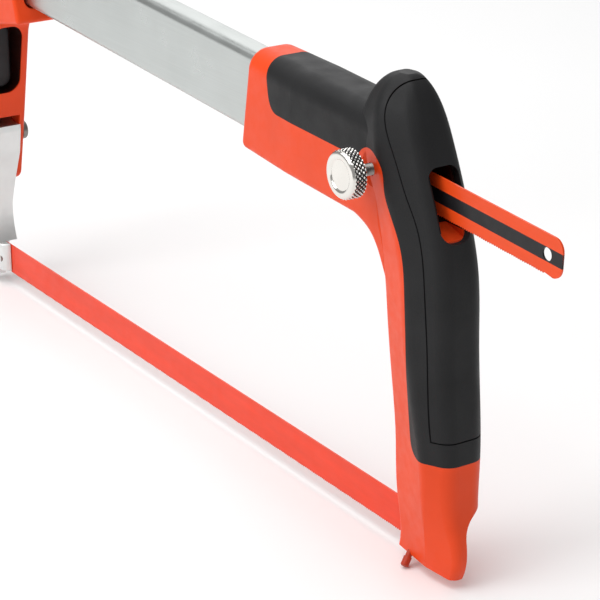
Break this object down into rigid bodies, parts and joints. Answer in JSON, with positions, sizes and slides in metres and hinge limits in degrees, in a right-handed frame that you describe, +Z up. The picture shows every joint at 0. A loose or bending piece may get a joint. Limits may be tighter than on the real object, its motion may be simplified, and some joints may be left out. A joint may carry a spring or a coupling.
{
  "type": "hacksaw",
  "caption": "High-tension hacksaw: flat alloy tube frame, cast handle with rubber grip, clamped spare blade out of the back, tensioned blade below.",
  "frame": {"origin": "centre of the cutting blade's rear hole, in the blade's mid plane", "axes": "+X along the blade from the handle to the front end, +Y to the thumbscrew side, +Z up from the teeth to the frame tube"},
  "size_m": [0.4166, 0.0372, 0.1656],
  "materials": {
    "orange_paint": "satin powder coat",
    "tube_aluminium": "satin anodised",
    "grip_rubber": "satin overmould",
    "blade_orange": "semi-gloss lacquer",
    "chrome": "polished, knurled rim",
    "arm_silver": "satin die casting",
    "pin_red": "gloss lacquer",
    "steel": "turned",
    "brass": "turned",
    "black_plastic": "moulded, satin"
  },
  "bodies": {
    "frame": {"frame_tube": "tube_aluminium", "handle_casting": "orange_paint", "grip_rubber": "grip_rubber", "palm_insert": "grip_rubber", "rear_blade_pin": "steel", "rear_angle_pin": "pin_red", "knob_bushing": "brass", "front_casting": "orange_paint", "pocket_pad": "black_plastic", "pivot_pin": "steel", "pivot_clip": "steel", "tension_nut": "brass", "lock_pins": "steel"},
    "clamp": {"clamp_pad": "brass"},
    "thumbscrew": {"thumbscrew": "chrome"},
    "spare": {"spare_blade": "blade_orange"},
    "blade": {"cutting_blade": "blade_orange"},
    "arm": {"tension_arm": "arm_silver", "front_blade_pin": "steel", "front_angle_pin": "pin_red"},
    "thrust": {"thrust_pad": "brass"},
    "tensioner": {"tension_screw": "steel", "tension_knob": "black_plastic"}
  },
  "joints": [
    {"name": "thumbscrew_travel", "type": "slide", "parent": "frame", "child": "clamp", "axis": [0, 1, 0], "range_m": [0, 0.0024]},
    {"name": "thumbscrew_turn", "type": "hinge", "parent": "clamp", "child": "thumbscrew", "pos_m": [0.013, 0, 0.1219], "axis": [0, 1, 0], "range_deg": [0, 1081]},
    {"name": "spare_slide", "type": "slide", "parent": "frame", "child": "spare", "axis": [0.9988, 0, 0.0485], "range_m": [-0.2, 0.045]},
    {"name": "tension_travel", "type": "slide", "parent": "frame", "child": "thrust", "axis": [1, 0, 0], "range_m": [0, 0.0008]},
    {"name": "tension_turn", "type": "hinge", "parent": "thrust", "child": "tensioner", "pos_m": [0.33, 0, 0.074], "axis": [1, 0, 0], "range_deg": [0, 288.7]},
    {"name": "arm_pivot", "type": "hinge", "parent": "frame", "child": "arm", "pos_m": [0.3065, 0, 0.05365], "axis": [0, 1, 0], "range_deg": [0, 2.26]},
    {"name": "blade_slack", "type": "slide", "parent": "frame", "child": "blade", "axis": [1, 0, 0], "range_m": [-0.00106, 0]}
  ],
  "couplings": [
    {"joint": "thumbscrew_turn", "follows": "thumbscrew_travel", "rad_per_m": 7854},
    {"joint": "tension_turn", "follows": "tension_travel", "rad_per_m": 6283.2},
    {"joint": "arm_pivot", "follows": "tension_travel", "rad_per_m": 48.935},
    {"joint": "blade_slack", "follows": "tension_travel", "ratio": -1.3125}
  ]
}
